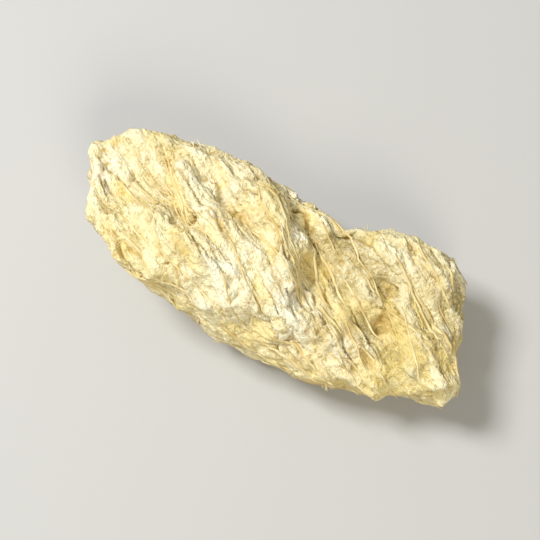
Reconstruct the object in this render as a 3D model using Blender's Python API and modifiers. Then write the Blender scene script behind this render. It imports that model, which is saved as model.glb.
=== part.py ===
"""One chip of cut, dried ginger root, lying on its flat cut face.

The real chip is a single piece of rhizome: a slice was chopped across its fibres, and the pieces
dried. Its ends and flanks are knife cuts that drying has rounded and hollowed a little, and its
top is torn along the fibres into ribs, with a saddle between a high left lobe and a lower,
pitted right lobe. So it is one closed solid.

The sizes below are in millimetres and degrees. +X runs along the chip, +Z is up, and the origin
is under the middle of its box, on the surface that it lies on.
"""

import math

import bmesh
import bpy
from mathutils import Vector, noise

MM = 0.001

# The chip from above, anticlockwise from the tip of its right end.
OUTLINE = (
    (5.78, -1.44),
    (5.64, -0.42),
    (5.10, 0.86),
    (4.78, 2.00),
    (4.20, 2.34),
    (3.30, 2.32),
    (2.40, 2.36),
    (1.62, 2.12),
    (1.26, 1.66),
    (0.74, 1.98),
    (0.13, 2.26),
    (-1.80, 2.38),
    (-3.50, 2.40),
    (-4.50, 2.16),
    (-5.60, 1.88),
    (-6.24, 1.40),
    (-5.98, 0.40),
    (-5.50, -0.52),
    (-4.98, -1.26),
    (-3.34, -1.72),
    (-1.67, -1.90),
    (-0.20, -2.14),
    (1.80, -2.16),
    (3.70, -2.14),
    (5.46, -1.84),
)
BLANK_HEIGHT = 3.9

# Each knife cut is the way its face looks round the chip, how far it looks up or down from level,
# and a point on it.
KNIFE_CUTS = {
    "left_top": (160, 80, (-3.1, 0.3, 3.20)),
    "right_top": (-38, 82, (3.0, 0.2, 2.80)),
    "front_top": (-80, 46, (2.5, -1.80, 2.00)),
    "left_end_top": (192, 36, (-5.75, 0.4, 2.60)),
    "back_top": (86, 46, (-1.5, 2.35, 2.50)),
    "right_end_top": (12, 40, (5.05, 0.2, 2.20)),
    "front_left_under": (-118, -30, (-3.5, -1.60, 2.35)),
    "front_right_under": (-76, -40, (3.4, -2.00, 1.45)),
    "back_left_under": (104, -34, (-3.0, 2.25, 1.60)),
    "back_right_under": (78, -28, (3.0, 2.25, 1.30)),
    "right_end_under": (8, -28, (5.30, 0.0, 1.25)),
    "left_end_under": (190, -30, (-5.90, 0.4, 1.50)),
}

# The fibres run across the chip on a slant and dip a little towards its front.
GRAIN_AZIMUTH = -37.0
GRAIN_DIP = -9.0
GRAIN_STRETCH = 7.0

# Ridges and furrows torn along the top: each has a half width, and then points with the height
# that it stands there, or sinks if that is below nought.
TORN_LINES = {
    "main_ridge": (
        0.46,
        (
            (-4.70, 1.70, 0.10),
            (-2.83, 2.20, 0.22),
            (-1.75, 1.89, 0.34),
            (-0.50, 1.16, 0.42),
            (0.25, -0.13, 0.34),
            (0.50, -1.15, 0.06),
        ),
    ),
    "saddle": (
        0.52,
        (
            (-1.00, 2.60, -0.20),
            (-0.20, 1.90, -0.46),
            (0.64, 1.15, -0.56),
            (0.86, 0.39, -0.46),
            (1.00, -0.37, -0.26),
            (1.15, -1.20, 0.00),
        ),
    ),
    "saddle_right_side": (1.05, ((1.30, 2.40, -0.42), (1.70, 0.60, -0.34), (1.90, -0.90, 0.00))),
    "back_knob": (0.36, ((0.10, 1.95, 0.34), (0.80, 1.80, 0.42))),
    "second_ridge": (
        0.34,
        (
            (-4.20, 1.36, 0.08),
            (-3.07, 1.12, 0.24),
            (-2.04, 0.47, 0.28),
            (-1.07, 0.10, 0.24),
            (-0.05, -0.30, 0.08),
        ),
    ),
    "third_ridge": (
        0.42,
        ((-4.60, -0.20, 0.08), (-3.15, -0.66, 0.26), (-1.56, -0.80, 0.24), (-0.07, -1.25, 0.06)),
    ),
    "first_furrow": (
        0.28,
        ((-4.60, 1.36, -0.08), (-3.76, 0.68, -0.28), (-2.65, 0.10, -0.30), (-1.60, -0.22, -0.12)),
    ),
    "second_furrow": (0.30, ((-2.60, 1.40, -0.14), (-1.68, 1.00, -0.36), (-0.83, 0.46, -0.14))),
    "right_rim": (
        0.36,
        ((1.62, 2.00, 0.20), (3.05, 1.96, 0.36), (4.30, 1.90, 0.34), (4.96, 1.40, 0.14)),
    ),
    "right_ridge": (0.30, ((2.40, 0.35, 0.08), (3.40, 0.10, 0.22), (4.45, -0.30, 0.20))),
    "front_rim": (
        0.24,
        ((-1.17, -1.75, 0.06), (0.40, -1.86, 0.16), (2.40, -1.84, 0.18), (4.90, -1.60, 0.12)),
    ),
}

# The right lobe's top sags in the middle, and single bundles have dropped out of it and the left.
HOLLOWS = (
    ((3.20, 0.35), 1.30, 0.34),
    ((2.89, 0.82), 0.34, 0.32),
    ((3.18, -0.54), 0.36, 0.36),
    ((3.92, -0.84), 0.28, 0.28),
    ((4.35, 0.46), 0.32, 0.28),
    ((5.00, -0.41), 0.30, 0.26),
    ((-4.03, 1.24), 0.30, 0.16),
    ((-2.30, -1.30), 0.34, 0.18),
    ((-0.22, -1.40), 0.30, 0.16),
)

# Shrinking: a slow warp of the whole chip, and fibre bundles that stand out of the shrunk flesh.
WARP = 0.17
WARP_SCALE = 2.1
WARP_SEED = 11
BUNDLES = ((0.90, 0.15), (0.42, 0.06))
CREST_SHARPNESS = 3
LUMP_SCALE = 0.80
LUMP_HEIGHT = 0.05

# Ridges, furrows and hollows start where a face's normal points up by the first share, and are
# full from the second.
TOP_FACING = (0.20, 0.80)

# The underside is a level cut: shrinking moves nothing up or down there, and moves all of it from
# this height up. The last sliver is then shaved off.
SETTLED_HEIGHT = 0.8
SHAVED = 0.10

# Meshing: the weld of the slab's rims, the faces before the relief, the share of them that stays
# after it, and the smoothing passes before and after the relief.
WELD = 0.001
FACE = 0.14
KEPT_SHARE = 0.36
EDGE_ROUNDING = 3
CREST_RUBBING = 2

FLESH_COLOUR = (0.84, 0.70, 0.38, 1.0)
FLESH_ROUGHNESS = 0.82


def clear_scene():
    for obj in list(bpy.data.objects):
        bpy.data.objects.remove(obj)


def smooth_step(low, high, value):
    share = min(1.0, max(0.0, (value - low) / (high - low)))
    return share * share * (3.0 - 2.0 * share)


def bell(distance, width):
    return math.exp(-((distance / width) ** 2))


def direction(azimuth, elevation):
    """The unit vector that looks that way round the chip and that far up."""
    a, e = math.radians(azimuth), math.radians(elevation)
    return Vector((math.cos(a) * math.cos(e), math.sin(a) * math.cos(e), math.sin(e)))


def finished_mesh(obj):
    """The object's mesh with its modifiers taken in; the object goes."""
    graph = bpy.context.evaluated_depsgraph_get()
    mesh = bpy.data.meshes.new_from_object(obj.evaluated_get(graph))
    bpy.data.objects.remove(obj)
    return mesh


def slice_slab():
    """The outline as thick as the slice that the chip was chopped from."""
    curve = bpy.data.curves.new("slab", "CURVE")
    curve.dimensions = "2D"
    curve.fill_mode = "BOTH"
    curve.extrude = BLANK_HEIGHT / 2.0
    spline = curve.splines.new("POLY")
    spline.points.add(len(OUTLINE) - 1)
    for corner, (x, y) in zip(spline.points, OUTLINE):
        corner.co = (x, y, 0.0, 1.0)
    spline.use_cyclic_u = True
    slab = bpy.data.objects.new("slab", curve)
    bpy.context.scene.collection.objects.link(slab)
    return finished_mesh(slab)


def chopped_blank():
    """The slab with each knife cut taken off it, in metres."""
    bm = bmesh.new()
    bm.from_mesh(slice_slab())
    bmesh.ops.remove_doubles(bm, verts=bm.verts, dist=WELD)
    bmesh.ops.translate(bm, verts=bm.verts, vec=(0.0, 0.0, BLANK_HEIGHT / 2.0))
    for azimuth, elevation, point in KNIFE_CUTS.values():
        cut = bmesh.ops.bisect_plane(
            bm,
            geom=bm.verts[:] + bm.edges[:] + bm.faces[:],
            plane_co=point,
            plane_no=direction(azimuth, elevation),
            clear_outer=True,
        )["geom_cut"]
        bmesh.ops.contextual_create(bm, geom=[e for e in cut if isinstance(e, bmesh.types.BMEdge)])
    bmesh.ops.scale(bm, verts=bm.verts, vec=(MM, MM, MM))
    bmesh.ops.recalc_face_normals(bm, faces=bm.faces)
    blank = bpy.data.meshes.new("blank")
    bm.to_mesh(blank)
    bm.free()
    return blank


def evenly_meshed(blank):
    """The blank in even faces, with its edges rounded."""
    even = bpy.data.objects.new("even", blank)
    bpy.context.scene.collection.objects.link(even)
    remesh = even.modifiers.new("even_faces", "REMESH")
    remesh.mode = "VOXEL"
    remesh.voxel_size = FACE * MM
    rounding = even.modifiers.new("dried_edges", "SMOOTH")
    rounding.iterations = EDGE_ROUNDING
    return finished_mesh(even)


def torn_relief(point):
    """How far the ridges and furrows lift this point of the top."""
    lift = 0.0
    for half_width, line in TORN_LINES.values():
        nearest = (math.inf, 0.0)
        for (x0, y0, h0), (x1, y1, h1) in zip(line, line[1:]):
            start = Vector((x0, y0))
            run = Vector((x1, y1)) - start
            share = min(1.0, max(0.0, (point.xy - start).dot(run) / run.length_squared))
            distance = (point.xy - start - run * share).length
            nearest = min(nearest, (distance, h0 + (h1 - h0) * share))
        lift += nearest[1] * bell(nearest[0], half_width)
    return lift


def hollow_relief(point):
    return -sum(deep * bell((point.xy - Vector(at)).length, wide) for at, wide, deep in HOLLOWS)


def bundle_relief(point):
    """Fibre bundles as crests of noise drawn out along the grain, over lumps of flesh."""
    grain = direction(GRAIN_AZIMUTH, GRAIN_DIP)
    along = point.dot(grain)
    drawn = point - grain * along * (1.0 - 1.0 / GRAIN_STRETCH)
    relief = LUMP_HEIGHT * noise.noise(point / LUMP_SCALE)
    for scale, height in BUNDLES:
        crest = 1.0 - abs(noise.noise(drawn / scale))
        relief += height * (2.0 * crest**CREST_SHARPNESS - 1.0)
    return relief


def weather(mesh):
    """Moves the points of the blank to the dried and torn surface; the underside stays level."""
    bm = bmesh.new()
    bm.from_mesh(mesh)
    bm.normal_update()
    moved = []
    for vert in bm.verts:
        point = vert.co / MM
        up = smooth_step(*TOP_FACING, vert.normal.z)
        shift = noise.noise_vector(point / WARP_SCALE) * WARP
        shift += vert.normal * bundle_relief(point)
        shift.z += up * (torn_relief(point) + hollow_relief(point))
        shift.z *= smooth_step(0.0, SETTLED_HEIGHT, point.z)
        moved.append((point + shift) * MM)
    for vert, place in zip(bm.verts, moved):
        vert.co = place
    bm.to_mesh(mesh)
    bm.free()


def fewer_faces(mesh):
    """Keeps faces where the surface bends and drops them where it is plain."""
    full = bpy.data.objects.new("full", mesh)
    bpy.context.scene.collection.objects.link(full)
    rubbing = full.modifiers.new("rubbed_crests", "SMOOTH")
    rubbing.iterations = CREST_RUBBING
    collapse = full.modifiers.new("fewer_faces", "DECIMATE")
    collapse.ratio = KEPT_SHARE
    collapse.use_collapse_triangulate = True
    return finished_mesh(full)


def lay_flat(mesh):
    """Shaves the underside level, and puts the origin under the middle of the box."""
    bm = bmesh.new()
    bm.from_mesh(mesh)
    cut = bmesh.ops.bisect_plane(
        bm,
        geom=bm.verts[:] + bm.edges[:] + bm.faces[:],
        plane_co=(0.0, 0.0, SHAVED * MM),
        plane_no=(0.0, 0.0, -1.0),
        clear_outer=True,
    )["geom_cut"]
    bmesh.ops.contextual_create(bm, geom=[e for e in cut if isinstance(e, bmesh.types.BMEdge)])
    places = [v.co for v in bm.verts]
    low = [min(place[i] for place in places) for i in range(3)]
    high = [max(place[i] for place in places) for i in range(3)]
    to_middle = (-(low[0] + high[0]) / 2.0, -(low[1] + high[1]) / 2.0, -low[2])
    bmesh.ops.translate(bm, verts=bm.verts, vec=to_middle)
    bmesh.ops.recalc_face_normals(bm, faces=bm.faces)
    bm.to_mesh(mesh)
    bm.free()


def flesh():
    """Dried ginger flesh: pale, starchy and dull."""
    material = bpy.data.materials.new("ginger_flesh")
    material.use_nodes = True
    shader = material.node_tree.nodes["Principled BSDF"]
    shader.inputs["Base Color"].default_value = FLESH_COLOUR
    shader.inputs["Roughness"].default_value = FLESH_ROUGHNESS
    return material


def build():
    clear_scene()
    noise.seed_set(WARP_SEED)
    parts = bpy.data.collections.new("dried_ginger_root")
    bpy.context.scene.collection.children.link(parts)
    mesh = evenly_meshed(chopped_blank())
    weather(mesh)
    mesh = fewer_faces(mesh)
    lay_flat(mesh)
    mesh.name = "ginger_chip"
    chip = bpy.data.objects.new("ginger_chip", mesh)
    parts.objects.link(chip)
    chip.data.materials.append(flesh())


build()
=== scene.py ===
"""Dried ginger root: one chip of cut and dried rhizome, lying on its flat cut face."""

import math
import random

import bmesh
import bpy
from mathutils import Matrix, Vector, noise
from mathutils.bvhtree import BVHTree


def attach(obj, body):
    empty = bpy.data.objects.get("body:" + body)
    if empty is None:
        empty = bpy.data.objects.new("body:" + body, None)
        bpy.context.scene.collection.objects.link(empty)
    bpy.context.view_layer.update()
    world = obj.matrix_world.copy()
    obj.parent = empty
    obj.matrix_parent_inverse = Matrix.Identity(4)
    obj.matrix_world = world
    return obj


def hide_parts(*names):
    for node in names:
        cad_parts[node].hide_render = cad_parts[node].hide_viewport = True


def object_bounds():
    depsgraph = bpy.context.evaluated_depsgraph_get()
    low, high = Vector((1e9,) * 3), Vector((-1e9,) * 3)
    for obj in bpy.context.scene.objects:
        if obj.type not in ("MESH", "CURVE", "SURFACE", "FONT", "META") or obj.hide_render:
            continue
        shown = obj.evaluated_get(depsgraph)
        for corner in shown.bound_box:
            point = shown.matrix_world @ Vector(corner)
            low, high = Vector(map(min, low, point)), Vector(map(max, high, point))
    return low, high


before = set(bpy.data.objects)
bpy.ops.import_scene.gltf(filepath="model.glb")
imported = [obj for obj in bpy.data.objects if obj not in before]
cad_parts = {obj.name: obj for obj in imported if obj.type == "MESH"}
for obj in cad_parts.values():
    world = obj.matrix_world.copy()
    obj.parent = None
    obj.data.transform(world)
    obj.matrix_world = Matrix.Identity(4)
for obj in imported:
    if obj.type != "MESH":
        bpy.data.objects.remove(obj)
CAD_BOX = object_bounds()

# The flesh.
# The whole chip is one piece of ginger rhizome: pale starch flesh with fibre bundles all running
# one way through it. It was chopped with a knife, torn along the fibres on top, and dried until the
# flesh shrank between them. Sizes are in millimetres.

MM = 0.001
GRAIN_AZIMUTH = math.radians(-37.0)
GRAIN_DIP = math.radians(9.0)
GRAIN = Vector(
    (
        math.cos(GRAIN_AZIMUTH) * math.cos(GRAIN_DIP),
        math.sin(GRAIN_AZIMUTH) * math.cos(GRAIN_DIP),
        -math.sin(GRAIN_DIP),
    )
)

WELD = 0.001
ROUNDING_LEVELS = 2
FLESH_VOXEL = 0.047

# The cut underside stays flat: all the weathering fades in between these heights above the table.
SETTLED_HEIGHT = (0.02, 0.24)

# How far up a face looks, from where the torn top or a flank begins to where it is full, and how
# far along the grain one looks that is cut across it.
TORN_FACING = (-0.1, 0.6)
FLANK_FACING = (0.45, -0.15)
CROSS_CUT_FACING = (0.35, 0.75)

# Ridges of the solid are sharpened by how far they stand out of a smoothed copy. Crests and furrows
# are told by a broadly smoothed copy, and the finest hollows by a barely smoothed one.
SHARPENED_PASSES = 14
SHARPENED = 0.60
BROAD_PASSES = 140
BROAD_HEIGHT = 0.16
HOLLOW_PASSES = 4
HOLLOW_DEPTH = 0.05

# Three ways of going crooked: the fibres' broad sway and fine crook, and the ragged surface.
SWAY = 0.24
SWAY_PITCH = 2.4
CROOK = 0.050
CROOK_PITCH = 0.30
RAGGED = 0.120
RAGGED_PITCH = 0.60

# Bundles stand at uneven heights, with seams between them that have split open in places.
BUNDLE_PITCH = 0.46
BUNDLE_STRETCH = 9.0
BUNDLE_STEP = 0.060
BUNDLE_SHOULDER = 0.40
BUNDLE_CUT_AWAY = 0.7
SEAM_WIDTH = 0.16
SEAM_DEPTH = 0.065
SPLIT_DEPTH = 0.100
SPLIT_PITCH = 1.5
SPLIT_RARITY = (0.05, 0.40)
UNSPLIT_SEAM = 0.40

# A share of the single fibres stands proud. The core of each, as a part of its radius, has the full
# height, and its chance is read at a scale that sets it apart from its neighbours.
FIBRE_PITCH = 0.27
FIBRE_STRETCH = 18.0
FIBRE_SHARE = 0.60
FIBRE_FADE = 0.20
FIBRE_RADIUS = 0.30
FIBRE_CORE = 0.30
FIBRE_PROUD = 0.050
CHANCE_SCALE = 7.3

# Pits are a little longer along the grain, and rare, with ragged rims.
PIT_PITCH = 0.38
PIT_STRETCH = 2.4
PIT_RARITY = 0.34
PIT_WALL = 0.30
PIT_DEPTH = 0.11
PIT_RAGGED = 0.22
PIT_RAGGED_PITCH = 0.11

# Crumbs of starch, as size and height, thicker in the furrows, which they also partly fill.
CRUMB_SIZES = ((0.42, 0.050), (0.19, 0.044), (0.09, 0.028))
FURROW_CRUMBS = 1.6
SILTED = 0.40

# How much of the torn top's bundles, splits and crumbs the cut flanks have.
FLANK_BUNDLES = 0.75
FLANK_SPLITS = 0.60
FLANK_CRUMBS = 0.35

# Where in the endless noise each pattern is read, so that no two patterns run alike.
PIT_PLACE = Vector((17.0, 4.0, 8.0))
SPLIT_PLACE = Vector((5.0, 2.0, 9.0))
SHIFT_PLACES = [Vector((side, side, 0.0)) for side in (3.0, 13.0, 23.0)]

# Where the top swells out or sinks in beyond the solid: place, radius, height.
SWELLINGS = (
    ((0.85, 0.70), 0.38, 0.17),
    ((1.60, 1.45), 0.38, -0.24),
    ((1.85, 0.20), 0.40, -0.07),
)

# Where shade is painted darker onto the top, and where light is painted paler onto it: place, radius,
# strength.
PAINTED_SHADE_PATCHES = (
    ((-3.90, 1.95), 0.60, 0.45),
    ((-3.77, 0.78), 0.30, 0.50),
    ((-3.20, -0.10), 0.45, 0.45),
    ((-1.60, 0.55), 0.36, 0.50),
    ((-0.55, 1.72), 0.40, 0.70),
    ((1.62, 1.40), 0.48, 1.00),
    ((1.20, 0.70), 0.46, 0.75),
    ((2.10, 0.22), 0.46, 0.75),
    ((3.40, 0.20), 1.80, 0.34),
    ((2.70, 0.85), 0.42, 0.70),
    ((2.93, -0.60), 0.38, 0.60),
    ((4.15, -1.02), 0.40, 0.70),
    ((5.05, -0.15), 0.45, 0.90),
    ((5.05, 1.10), 0.65, 1.00),
)
# Painted light: the patches of the top that are painted paler.
PAINTED_LIGHT_PATCHES = (
    ((-5.25, 0.65), 0.60, 0.90),
    ((-2.75, 1.10), 0.35, 0.60),
    ((-1.75, 1.15), 0.35, 0.55),
    ((-0.70, -0.85), 0.75, 0.70),
    ((0.50, 0.80), 0.30, 0.80),
    ((0.92, -0.80), 0.45, 0.80),
    ((1.30, -1.60), 0.60, 0.65),
    ((2.80, -1.40), 0.45, 0.60),
    ((3.45, 1.35), 0.45, 0.45),
)
PATCH_RAGGED = 0.45
PATCH_RAGGED_PITCH = 0.35
PATCH_FACING = (0.0, 0.4)


def smooth_step(low, high, value):
    share = min(1.0, max(0.0, (value - low) / (high - low)))
    return share * share * (3.0 - 2.0 * share)


def at_least(least, share):
    """The share, brought from between 0 and 1 to between the least and 1."""
    return least + (1.0 - least) * share


def drawn_out(point, stretch):
    """The point with its way along the grain shortened, so a pattern there is drawn out along it."""
    return point - GRAIN * point.dot(GRAIN) * (1.0 - 1.0 / stretch)


def shifted(point, pitch, reach):
    """The point shifted by a slowly changing amount, so that straight and round shapes go crooked."""
    return point + reach * Vector([noise.noise(point / pitch + place) for place in SHIFT_PLACES])


def fibre_strip(point, pitch, stretch):
    """Fibres side by side: how far a point is from the middle and inside the seam of its own one,
    in pitches, and a chance for each fibre."""
    (first, second, _, _), (middle, _, _, _) = noise.voronoi(drawn_out(point, stretch) / pitch)
    return first, second - first, 0.5 + 0.5 * noise.cell(middle * CHANCE_SCALE)


def dropped_pit(point):
    """Ragged pits where flesh has dropped out: 1 at the bottom of one, and 0 away from them."""
    depth = noise.noise(drawn_out(point, PIT_STRETCH) / PIT_PITCH + PIT_PLACE)
    depth += PIT_RAGGED * noise.noise(point / PIT_RAGGED_PITCH)
    return smooth_step(PIT_RARITY, PIT_RARITY + PIT_WALL, depth)


def patch_strength(patches, point, facing_up):
    """What the soft, crooked-edged patches of the top that are listed add up to at this point."""
    edge = 1.0 + PATCH_RAGGED * noise.noise(point / PATCH_RAGGED_PITCH)
    spots = (s * math.exp(-(((point.xy - Vector(at)).length * edge / wide) ** 2)) for at, wide, s in patches)
    return min(1.0, sum(spots)) * smooth_step(*PATCH_FACING, facing_up)


def evaluated_mesh(obj):
    return bpy.data.meshes.new_from_object(obj.evaluated_get(bpy.context.evaluated_depsgraph_get()))


def flesh_in_millimetres():
    """The chip's solid with its facets rounded off, in fine even faces, in millimetres."""
    bm = bmesh.new()
    bm.from_mesh(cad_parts["ginger_chip"].data)
    bmesh.ops.scale(bm, verts=bm.verts, vec=(1.0 / MM, 1.0 / MM, 1.0 / MM))
    bmesh.ops.remove_doubles(bm, verts=bm.verts, dist=WELD)
    bmesh.ops.recalc_face_normals(bm, faces=bm.faces)
    mesh = bpy.data.meshes.new("flesh_work")
    bm.to_mesh(mesh)
    bm.free()
    work = bpy.data.objects.new("flesh_work", mesh)
    bpy.context.scene.collection.objects.link(work)
    rounding = work.modifiers.new("rounding", "SUBSURF")
    rounding.levels = ROUNDING_LEVELS
    rounding.render_levels = ROUNDING_LEVELS
    remesh = work.modifiers.new("fine_faces", "REMESH")
    remesh.mode = "VOXEL"
    remesh.voxel_size = FLESH_VOXEL
    fine = evaluated_mesh(work)
    bpy.data.objects.remove(work)
    return fine


def softened_places(mesh, passes):
    """Where the mesh's points would lie after that many smoothing passes."""
    work = bpy.data.objects.new("softened", mesh)
    bpy.context.scene.collection.objects.link(work)
    work.modifiers.new("softening", "SMOOTH").iterations = passes
    places = [v.co.copy() for v in evaluated_mesh(work).vertices]
    bpy.data.objects.remove(work)
    return places


def weathered_point(point, normal, near, broad):
    """Where a point of the solid's surface comes to lie, and what marks the flesh there."""
    along = shifted(shifted(point, SWAY_PITCH, SWAY), CROOK_PITCH, CROOK)
    torn = smooth_step(*TORN_FACING, normal.z)
    end_grain = smooth_step(*CROSS_CUT_FACING, abs(normal.dot(GRAIN)))
    _, inside, bundle_chance = fibre_strip(along, BUNDLE_PITCH, BUNDLE_STRETCH)
    bundle_body = smooth_step(0.0, BUNDLE_SHOULDER, inside) * (1.0 - BUNDLE_CUT_AWAY * end_grain)
    split = smooth_step(*SPLIT_RARITY, noise.noise(point / SPLIT_PITCH + SPLIT_PLACE))
    seam = (1.0 - smooth_step(0.0, SEAM_WIDTH, inside)) * (1.0 - end_grain)
    off_middle, _, fibre_chance = fibre_strip(along, FIBRE_PITCH, FIBRE_STRETCH)
    fibre = smooth_step(FIBRE_RADIUS, FIBRE_CORE * FIBRE_RADIUS, off_middle)
    fibre *= smooth_step(1.0 - FIBRE_SHARE, 1.0 - FIBRE_SHARE + FIBRE_FADE, fibre_chance)
    pit = dropped_pit(point)
    sunk = (broad - point).dot(normal)

    height = BUNDLE_STEP * (2.0 * bundle_chance - 1.0) * bundle_body * at_least(FLANK_BUNDLES, torn)
    height -= (SEAM_DEPTH + SPLIT_DEPTH * split * at_least(FLANK_SPLITS, torn)) * seam
    height += FIBRE_PROUD * fibre
    height -= PIT_DEPTH * pit
    crumbs = sum(high * noise.noise(point / size) for size, high in CRUMB_SIZES)
    crumbs *= 1.0 + FURROW_CRUMBS * smooth_step(0.0, BROAD_HEIGHT, sunk)
    height += crumbs * at_least(FLANK_CRUMBS, torn)
    height += SILTED * max(0.0, sunk)
    height += patch_strength(SWELLINGS, point, normal.z)

    level = smooth_step(*SETTLED_HEIGHT, point.z)
    place = shifted(point, RAGGED_PITCH, RAGGED * level) + (point - near) * SHARPENED * level
    place += normal * height * level
    place.z = max(place.z, 0.0)
    marks = {
        "bundle": bundle_chance,
        "seam": seam * at_least(UNSPLIT_SEAM, split),
        "fibre": fibre,
        "pit": pit,
        # Crest height, from which the colour paints crests paler, partly as painted highlight, and furrows
        # tan as painted shade.
        "crest": 0.5 - 0.5 * sunk / BROAD_HEIGHT,
        # How far the face turns sideways and down, from which the colour paints the flanks tan as painted
        # shade.
        "flank": smooth_step(*FLANK_FACING, normal.z),
        # Listed patches of painted shade and of painted light on the top.
        "painted_shade": patch_strength(PAINTED_SHADE_PATCHES, point, normal.z),
        "pale_wear_and_painted_light": patch_strength(PAINTED_LIGHT_PATCHES, point, normal.z),
    }
    return place, marks


flesh_mesh = flesh_in_millimetres()
near_places = softened_places(flesh_mesh, SHARPENED_PASSES)
broad_places = softened_places(flesh_mesh, BROAD_PASSES)
normals = [v.normal.copy() for v in flesh_mesh.vertices]
weathered = [
    weathered_point(v.co.copy(), normal, near, broad)
    for v, normal, near, broad in zip(flesh_mesh.vertices, normals, near_places, broad_places)
]
for vert, (place, _) in zip(flesh_mesh.vertices, weathered):
    vert.co = place
flesh_marks = {name: [marks[name] for _, marks in weathered] for name in weathered[0][1]}
flesh_marks["hollow"] = [
    0.5 + (low - v.co).dot(normal) / HOLLOW_DEPTH
    for v, normal, low in zip(flesh_mesh.vertices, normals, softened_places(flesh_mesh, HOLLOW_PASSES))
]
for name, values in flesh_marks.items():
    flesh_mesh.attributes.new(name, "FLOAT", "POINT").data.foreach_set("value", values)

flesh_bm = bmesh.new()
flesh_bm.from_mesh(flesh_mesh)
flesh_surface = BVHTree.FromBMesh(flesh_bm)
flesh_surface_points = [(v.co.copy(), v.normal.copy()) for v in flesh_bm.verts]
bmesh.ops.scale(flesh_bm, verts=flesh_bm.verts, vec=(MM, MM, MM))
flesh_bm.to_mesh(flesh_mesh)
flesh_bm.free()
flesh_mesh.shade_smooth()
flesh_mesh.name = "chip_flesh"
flesh = bpy.data.objects.new("chip_flesh", flesh_mesh)
bpy.context.scene.collection.objects.link(flesh)

FLESH = (0.86, 0.70, 0.27, 1.0)
STARCH = (0.91, 0.83, 0.49, 1.0)
# Pale starch bloom, also used for painted highlights on crests and patches.
BLOOM_AND_HIGHLIGHT = (0.98, 0.95, 0.77, 1.0)
TAN = (0.53, 0.36, 0.09, 1.0)
FIBRE = (0.64, 0.45, 0.16, 1.0)
THREAD = (0.46, 0.30, 0.09, 1.0)
# The colour of the painted shade patches.
SHADE_PAINT = (0.40, 0.30, 0.08, 1.0)
OIL = (0.46, 0.23, 0.05, 1.0)

# How wide the patterns of the colour are, from broad clouds down to grit, and the streaks, fine
# threads and specks of dried oil that run through them or lie on them.
CLOUD_SIZE = 1.5
PATCH_SIZE = 0.60
GRAIN_SIZE = 0.17
GRIT_SIZE = 0.07
STREAK_PITCH = 0.35
FIBRIL_PITCH = 0.075
FIBRIL_STRETCH = 14.0
THREAD_PITCH = 0.21
THREAD_RADIUS = 0.20
SPECK_PITCH = 0.55
SPECK_RADIUS = 0.12
SPECK_RARITY = 0.55
DARK_CORE = 0.4

# How the flesh takes the light: its finest relief, its gloss and how far light soaks into it.
RELIEF = 0.060
FIBRIL_RELIEF = 1.4
GRAIN_RELIEF = 1.6
FLESH_ROUGHNESS = 0.86
FIBRE_ROUGHNESS = 0.62
FLESH_GLOSS = 0.35
SOAKING = 0.06
SOAKING_DEPTH = 0.30
SOAKING_COLOURS = (1.0, 0.65, 0.30)


def add_node(tree, kind, sockets, **settings):
    """Adds a node: its settings, and for each socket a link from an output or a fixed value."""
    node = tree.nodes.new(kind)
    for name, value in settings.items():
        setattr(node, name, value)
    for socket, value in sockets.items():
        if isinstance(value, bpy.types.NodeSocket):
            tree.links.new(value, node.inputs[socket])
        else:
            node.inputs[socket].default_value = value
    return node


def worked_out(tree, operation, first, second):
    return add_node(tree, "ShaderNodeMath", {0: first, 1: second}, operation=operation).outputs[0]


def spread(tree, value, low, high, from_value=0.0, to_value=1.0):
    """The value brought from between low and high to between the last two, softly at both."""
    sockets = {"Value": value, 1: low, 2: high, 3: from_value, 4: to_value}
    return add_node(tree, "ShaderNodeMapRange", sockets, interpolation_type="SMOOTHSTEP").outputs[0]


def painted(tree, amount, under, over):
    """The colour under, with that amount of the colour over it."""
    return add_node(tree, "ShaderNodeMix", {0: amount, 6: under, 7: over}, data_type="RGBA").outputs[2]


def mark(tree, name):
    return add_node(tree, "ShaderNodeAttribute", {}, attribute_name=name).outputs["Fac"]


def in_millimetres(tree, stretch):
    """Places on the piece in millimetres, along and across the grain, shortened along it."""
    place = add_node(tree, "ShaderNodeTexCoord", {}).outputs["Object"]
    sockets = {"Vector": place, "Rotation": (0.0, GRAIN_DIP, GRAIN_AZIMUTH), "Scale": (stretch * MM, MM, MM)}
    return add_node(tree, "ShaderNodeMapping", sockets, vector_type="TEXTURE").outputs[0]


def mottle(tree, place, size, detail=3.0):
    sockets = {"Vector": place, "Scale": 1.0 / size, "Detail": detail}
    return add_node(tree, "ShaderNodeTexNoise", sockets).outputs["Fac"]


def cells(tree, place, pitch):
    return add_node(tree, "ShaderNodeTexVoronoi", {"Vector": place, "Scale": 1.0 / pitch}).outputs


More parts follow.
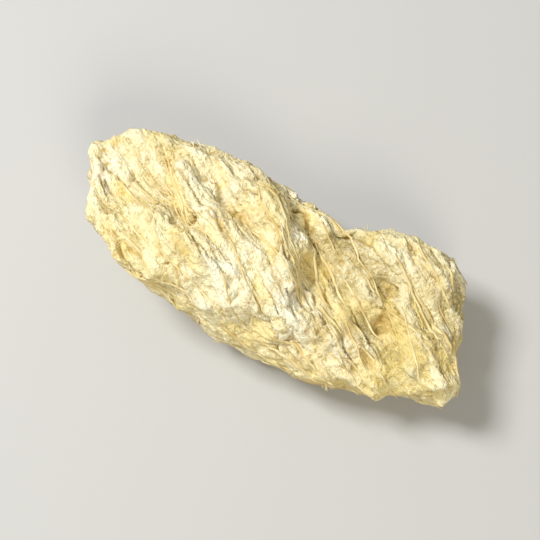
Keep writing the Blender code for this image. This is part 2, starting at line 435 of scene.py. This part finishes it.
def starch_flesh():
    """Dry starch flesh: cloudy cream, paler on the crests, partly worn starch and partly a painted
    highlight, with tan painted shade down in the furrows.
    """
    material = bpy.data.materials.new("starch_flesh")
    material.use_nodes = True
    tree = material.node_tree
    even = in_millimetres(tree, 1.0)
    along = in_millimetres(tree, FIBRIL_STRETCH)
    cloud = mottle(tree, even, CLOUD_SIZE)
    patch = mottle(tree, even, PATCH_SIZE)
    grains = mottle(tree, even, GRAIN_SIZE)
    grit = mottle(tree, even, GRIT_SIZE, 2.0)
    streak = mottle(tree, along, STREAK_PITCH)
    fibril = mottle(tree, along, FIBRIL_PITCH)
    crest = mark(tree, "crest")
    fibre = mark(tree, "fibre")
    thread = cells(tree, along, THREAD_PITCH)["Distance"]
    # Painted light and painted shade in the listed patches of the top, broken up by grains and grit.
    pale_wear_and_painted_light = worked_out(tree, "MULTIPLY", mark(tree, "pale_wear_and_painted_light"), spread(tree, grains, 0.30, 0.60, 0.2, 1.0))
    painted_shade = worked_out(tree, "MULTIPLY", mark(tree, "painted_shade"), spread(tree, grit, 0.25, 0.75, 0.3, 1.0))
    drops = cells(tree, even, SPECK_PITCH)
    drop = spread(tree, drops["Distance"], SPECK_RADIUS, DARK_CORE * SPECK_RADIUS)
    chosen = spread(tree, drops["Color"], SPECK_RARITY, SPECK_RARITY + 0.05)
    speck = worked_out(tree, "MULTIPLY", drop, chosen)

    # From the bottom up: how much of each colour lies over the ones before it.
    layers = (
        (spread(tree, mark(tree, "bundle"), 0.3, 1.0, 0.0, 0.45), BLOOM_AND_HIGHLIGHT),
        # Crests paler, partly worn starch and partly painted highlight.
        (spread(tree, crest, 0.50, 0.95, 0.0, 0.85), BLOOM_AND_HIGHLIGHT),
        (spread(tree, streak, 0.52, 0.75, 0.0, 0.45), TAN),
        (spread(tree, fibril, 0.50, 0.75, 0.0, 0.30), TAN),
        # Furrows tan: painted shade.
        (spread(tree, crest, 0.46, 0.05, 0.0, 0.65), TAN),
        # The finest hollows tan: painted shade.
        (spread(tree, mark(tree, "hollow"), 0.55, 1.0, 0.0, 0.70), TAN),
        (spread(tree, mark(tree, "seam"), 0.2, 0.9, 0.0, 0.75), TAN),
        (spread(tree, patch, 0.52, 0.72, 0.0, 0.40), TAN),
        (spread(tree, fibre, 0.1, 0.9, 0.0, 0.70), FIBRE),
        (spread(tree, thread, THREAD_RADIUS, DARK_CORE * THREAD_RADIUS, 0.0, 0.55), THREAD),
        # Pits tan: painted shade.
        (spread(tree, mark(tree, "pit"), 0.1, 1.0, 0.0, 0.55), TAN),
        # Flanks that face sideways and down tan: painted shade.
        (spread(tree, mark(tree, "flank"), 0.0, 1.0, 0.0, 0.30), TAN),
        # Painted light where the listed patches lighten the top.
        (pale_wear_and_painted_light, BLOOM_AND_HIGHLIGHT),
        # Painted shade where the listed patches darken the top.
        (spread(tree, painted_shade, 0.0, 1.0, 0.0, 0.95), SHADE_PAINT),
        (spread(tree, grit, 0.50, 0.80, 0.0, 0.35), BLOOM_AND_HIGHLIGHT),
        (spread(tree, grains, 0.46, 0.26, 0.0, 0.60), TAN),
        (spread(tree, speck, 0.0, 1.0, 0.0, 0.75), OIL),
    )
    colour = painted(tree, spread(tree, cloud, 0.35, 0.65), FLESH, STARCH)
    for amount, over in layers:
        colour = painted(tree, amount, colour, over)

    relief = worked_out(tree, "ADD", grit, worked_out(tree, "MULTIPLY", fibril, FIBRIL_RELIEF))
    relief = worked_out(tree, "ADD", relief, worked_out(tree, "MULTIPLY", grains, GRAIN_RELIEF))
    bump = add_node(tree, "ShaderNodeBump", {"Height": relief, "Strength": 1.0, "Distance": RELIEF * MM})
    shader = tree.nodes["Principled BSDF"]
    tree.links.new(colour, shader.inputs["Base Color"])
    roughness = spread(tree, fibre, 0.0, 1.0, FLESH_ROUGHNESS, FIBRE_ROUGHNESS)
    tree.links.new(roughness, shader.inputs["Roughness"])
    tree.links.new(bump.outputs[0], shader.inputs["Normal"])
    shader.inputs["Specular IOR Level"].default_value = FLESH_GLOSS
    shader.inputs["Subsurface Weight"].default_value = SOAKING
    shader.inputs["Subsurface Radius"].default_value = SOAKING_COLOURS
    shader.inputs["Subsurface Scale"].default_value = SOAKING_DEPTH * MM
    return material


flesh.data.materials.clear()
flesh.data.materials.append(starch_flesh())
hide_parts("ginger_chip")
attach(flesh, "root")

# The fibre strands.
# Single fibre bundles stand free where the flesh has crumbled away from round them. Each is a
# thin tough thread that lies along the grain, half sunk in the torn top and lifted at its ends.

STRAND_COUNT = 150
STRAND_SEED = 12
STRAND_STEP_LENGTH = 0.10
STRAND_LENGTHS = (0.9, 3.8)
STRAND_RADII = (0.022, 0.048)
STRAND_SUNK = 0.012
STRAND_WANDER = 0.24
STRAND_WANDER_PITCH = 0.9
STRAND_TAUT = 6
STRAND_LIFT = 0.10
STRAND_END_STEPS = 4.0
STRAND_TAPER = 0.65
STRAND_UNEVEN = 0.25
STRAND_UNEVEN_PITCH = 0.3
STRAND_STEADY = 0.75
SHARPEST_TURN = 0.80
LOWEST_STRAND = 0.30
WANDER_PLACE = Vector((0.0, 0.0, 31.0))

STRAND_CORE = (0.66, 0.50, 0.20, 1.0)
STRAND_RUBBED = (0.84, 0.74, 0.42, 1.0)
FADE_SIZE = 0.6
STRAND_STREAK_PITCH = 0.05
STRAND_STREAK_STRETCH = 20.0
STRAND_RELIEF = 0.012
STRAND_ROUGHNESS = (0.55, 0.72)


def strand_path(draw):
    """Places and radii along one strand, from a drawn start, as far as the flesh carries it."""
    place, normal = draw.choice(flesh_surface_points)
    length, radius = draw.uniform(*STRAND_LENGTHS), draw.uniform(*STRAND_RADII)
    turn, lifts = draw.uniform(-1.0, 1.0), (draw.uniform(0.0, STRAND_LIFT), draw.uniform(0.0, STRAND_LIFT))
    route = []
    for _ in range(int(length / STRAND_STEP_LENGTH)):
        wander = STRAND_WANDER * (turn + noise.noise(place / STRAND_WANDER_PITCH + WANDER_PLACE))
        way = GRAIN + GRAIN.cross(normal) * wander
        way -= normal * way.dot(normal)
        found, facing, _, _ = flesh_surface.find_nearest(place + way.normalized() * STRAND_STEP_LENGTH)
        facing = (normal * STRAND_STEADY + facing * (1.0 - STRAND_STEADY)).normalized()
        if abs(facing.dot(GRAIN)) > SHARPEST_TURN or found.z < LOWEST_STRAND:
            break
        route.append((found, facing))
        place, normal = found, facing
    if len(route) * STRAND_STEP_LENGTH < STRAND_LENGTHS[0]:
        return None
    for _ in range(STRAND_TAUT):
        for i in range(1, len(route) - 1):
            place, normal = route[i]
            sag = ((route[i - 1][0] + route[i + 1][0]) / 2.0 - place).dot(normal)
            route[i] = (place + normal * max(0.0, sag), normal)
    last = len(route) - 1
    path = []
    for i, (place, normal) in enumerate(route):
        ends = (max(0.0, 1.0 - i / STRAND_END_STEPS), max(0.0, 1.0 - (last - i) / STRAND_END_STEPS))
        raised = sum(lift * end**2 for lift, end in zip(lifts, ends))
        uneven = 1.0 + STRAND_UNEVEN * noise.noise(place / STRAND_UNEVEN_PITCH)
        thickness = radius * (1.0 - STRAND_TAPER * max(ends)) * uneven
        path.append((place + normal * (raised - STRAND_SUNK), thickness))
    return path


def thread_piece(name, paths, rounds):
    """One piece of thin round threads; each path lists a thread's places and radii."""
    curve = bpy.data.curves.new(name, "CURVE")
    curve.dimensions = "3D"
    curve.bevel_depth = MM
    curve.bevel_resolution = rounds
    curve.use_fill_caps = True
    for path in paths:
        spline = curve.splines.new("POLY")
        spline.points.add(len(path) - 1)
        for corner, (place, radius) in zip(spline.points, path):
            corner.co = (*(place * MM), 1.0)
            corner.radius = radius
    route = bpy.data.objects.new(name + "_route", curve)
    bpy.context.scene.collection.objects.link(route)
    mesh = evaluated_mesh(route)
    bpy.data.objects.remove(route)
    bm = bmesh.new()
    bm.from_mesh(mesh)
    bmesh.ops.remove_doubles(bm, verts=bm.verts, dist=WELD * MM)
    bmesh.ops.recalc_face_normals(bm, faces=bm.faces)
    bm.to_mesh(mesh)
    bm.free()
    mesh.shade_smooth()
    mesh.name = name
    piece = bpy.data.objects.new(name, mesh)
    bpy.context.scene.collection.objects.link(piece)
    return piece


def dried_fibre(name, core, pale_wear_and_painted_light):
    """Dried fibre: straw coloured and a little glossier than the flesh, streaked along its length."""
    material = bpy.data.materials.new(name)
    material.use_nodes = True
    tree = material.node_tree
    streak = mottle(tree, in_millimetres(tree, STRAND_STREAK_STRETCH), STRAND_STREAK_PITCH)
    fade = mottle(tree, in_millimetres(tree, 1.0), FADE_SIZE)
    colour = painted(tree, spread(tree, fade, 0.35, 0.65), core, pale_wear_and_painted_light)
    colour = painted(tree, spread(tree, streak, 0.45, 0.75, 0.0, 0.5), colour, TAN)
    relief = {"Height": streak, "Strength": 0.6, "Distance": STRAND_RELIEF * MM}
    bump = add_node(tree, "ShaderNodeBump", relief)
    shader = tree.nodes["Principled BSDF"]
    tree.links.new(colour, shader.inputs["Base Color"])
    tree.links.new(spread(tree, fade, 0.3, 0.7, *STRAND_ROUGHNESS), shader.inputs["Roughness"])
    tree.links.new(bump.outputs[0], shader.inputs["Normal"])
    return material


strand_draw = random.Random(STRAND_SEED)
strand_paths = [path for path in (strand_path(strand_draw) for _ in range(STRAND_COUNT)) if path]
strands = thread_piece("fibre_strands", strand_paths, 1)
strands.data.materials.append(dried_fibre("strand_fibre", STRAND_CORE, STRAND_RUBBED))
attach(strands, "root")

# The fibre ends.
# Where the knife and the tearing cut across the grain, the tough fibres stand out of the shrunk
# flesh in small tufts of broken stubs that follow the grain. They thin to a point and bend a little.

TUFT_COUNT = 44
TUFT_SEED = 7
TUFT_ENDS = (1, 6)
TUFT_WIDTH = 0.16
END_LENGTHS = (0.04, 0.26)
END_RADII = (0.014, 0.032)
END_SPREAD = 0.34
END_BEND = 0.45
END_TAPER = 0.85
END_STATIONS = (0.0, 0.4, 0.75, 1.0)
END_ROOT = 0.06
END_MARGIN = 0.02
END_FACING = 0.55
LOWEST_END = 0.35

END_CORE = (0.74, 0.60, 0.28, 1.0)
END_RUBBED = (0.88, 0.79, 0.48, 1.0)


def drawn_vector(draw, reach):
    return Vector([draw.uniform(-reach, reach) for _ in range(3)])


def end_path(draw, middle):
    """Places and radii along one fibre end near a tuft's middle, or None past the chip's box."""
    root, normal, _, _ = flesh_surface.find_nearest(middle + drawn_vector(draw, TUFT_WIDTH))
    length = END_LENGTHS[0] + (END_LENGTHS[1] - END_LENGTHS[0]) * draw.random() ** 2
    radius = draw.uniform(*END_RADII)
    way = GRAIN * math.copysign(1.0, normal.dot(GRAIN)) + drawn_vector(draw, END_SPREAD)
    way = way.normalized() * length
    bend = drawn_vector(draw, END_BEND) * length
    low, high = (Vector(corner) / MM for corner in CAD_BOX)
    reach = root + way + bend
    if any(not low[i] - END_MARGIN < reach[i] < high[i] + END_MARGIN for i in range(3)):
        return None
    path = [(root - way.normalized() * END_ROOT, radius)]
    path += [(root + way * s + bend * s * s, radius * (1.0 - END_TAPER * s * s)) for s in END_STATIONS]
    return path


end_draw = random.Random(TUFT_SEED)
cut_across = [v for v in flesh_surface_points if abs(v[1].dot(GRAIN)) > END_FACING and v[0].z > LOWEST_END]
tufts = [end_draw.choice(cut_across)[0] for _ in range(TUFT_COUNT)]
end_paths = [end_path(end_draw, tuft) for tuft in tufts for _ in range(end_draw.randint(*TUFT_ENDS))]
ends = thread_piece("fibre_ends", [path for path in end_paths if path], 0)
ends.data.materials.append(dried_fibre("end_fibre", END_CORE, END_RUBBED))
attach(ends, "root")

# The table, the light and the camera.
# The chip lies on a pale matt table. A window shines from the upper left of the picture, and a
# weaker warm light from the front stands for the heap's own glow. The camera looks steeply down.

TABLE_COLOUR = (0.50, 0.50, 0.49, 1.0)
TABLE_ROUGHNESS = 0.6

bpy.ops.mesh.primitive_plane_add(size=1.0)
table = bpy.context.object
table.name = "table"
table_material = bpy.data.materials.new("pale_table")
table_material.use_nodes = True
table_material.node_tree.nodes["Principled BSDF"].inputs["Base Color"].default_value = TABLE_COLOUR
table_material.node_tree.nodes["Principled BSDF"].inputs["Roughness"].default_value = TABLE_ROUGHNESS
table.data.materials.append(table_material)

PHOTO_AZIMUTH = math.radians(24.0)
PHOTO_ELEVATION = math.radians(74.0)
FRAME_WIDTH = 15.0 * MM
AIM_HEIGHT = 1.6 * MM
LENS = 100.0
SENSOR = 36.0

to_camera = Vector(
    (
        math.sin(PHOTO_AZIMUTH) * math.cos(PHOTO_ELEVATION),
        -math.cos(PHOTO_AZIMUTH) * math.cos(PHOTO_ELEVATION),
        math.sin(PHOTO_ELEVATION),
    )
)
picture_right = Vector((math.cos(PHOTO_AZIMUTH), math.sin(PHOTO_AZIMUTH), 0.0))
picture_up = to_camera.cross(picture_right)

camera = bpy.data.objects.new("camera", bpy.data.cameras.new("camera"))
bpy.context.scene.collection.objects.link(camera)
camera.data.lens = LENS
camera.data.sensor_width = SENSOR
camera.data.clip_start = MM
camera.location = Vector((0.0, 0.0, AIM_HEIGHT)) + to_camera * FRAME_WIDTH * LENS / SENSOR
camera.rotation_euler = to_camera.to_track_quat("Z", "Y").to_euler()
bpy.context.scene.camera = camera

# Each light's way across, up and out of the picture, its distance and size, watts and colour.
WINDOW = ((-0.75, 0.40, 1.00), 0.16, 0.050, 0.262, (1.0, 1.0, 1.0))
HEAP_GLOW = ((0.15, -0.70, 0.80), 0.20, 0.090, 0.172, (1.0, 0.94, 0.80))
ROOM_COLOUR = (1.0, 0.97, 0.91, 1.0)
ROOM_STRENGTH = 0.31


def softbox(name, way, distance, size, watts, colour):
    """An area light that shines on the chip from that way."""
    across, up, above = way
    toward = picture_right * across + picture_up * up + Vector((0.0, 0.0, above))
    light = bpy.data.objects.new(name, bpy.data.lights.new(name, "AREA"))
    bpy.context.scene.collection.objects.link(light)
    light.data.size = size
    light.data.energy = watts
    light.data.color = colour
    light.location = toward.normalized() * distance
    light.rotation_euler = toward.to_track_quat("Z", "Y").to_euler()


softbox("window", *WINDOW)
softbox("heap_glow", *HEAP_GLOW)

room = bpy.data.worlds.new("room")
room.use_nodes = True
room.node_tree.nodes["Background"].inputs["Color"].default_value = ROOM_COLOUR
room.node_tree.nodes["Background"].inputs["Strength"].default_value = ROOM_STRENGTH
bpy.context.scene.world = room
bpy.context.scene.view_settings.view_transform = "Standard"
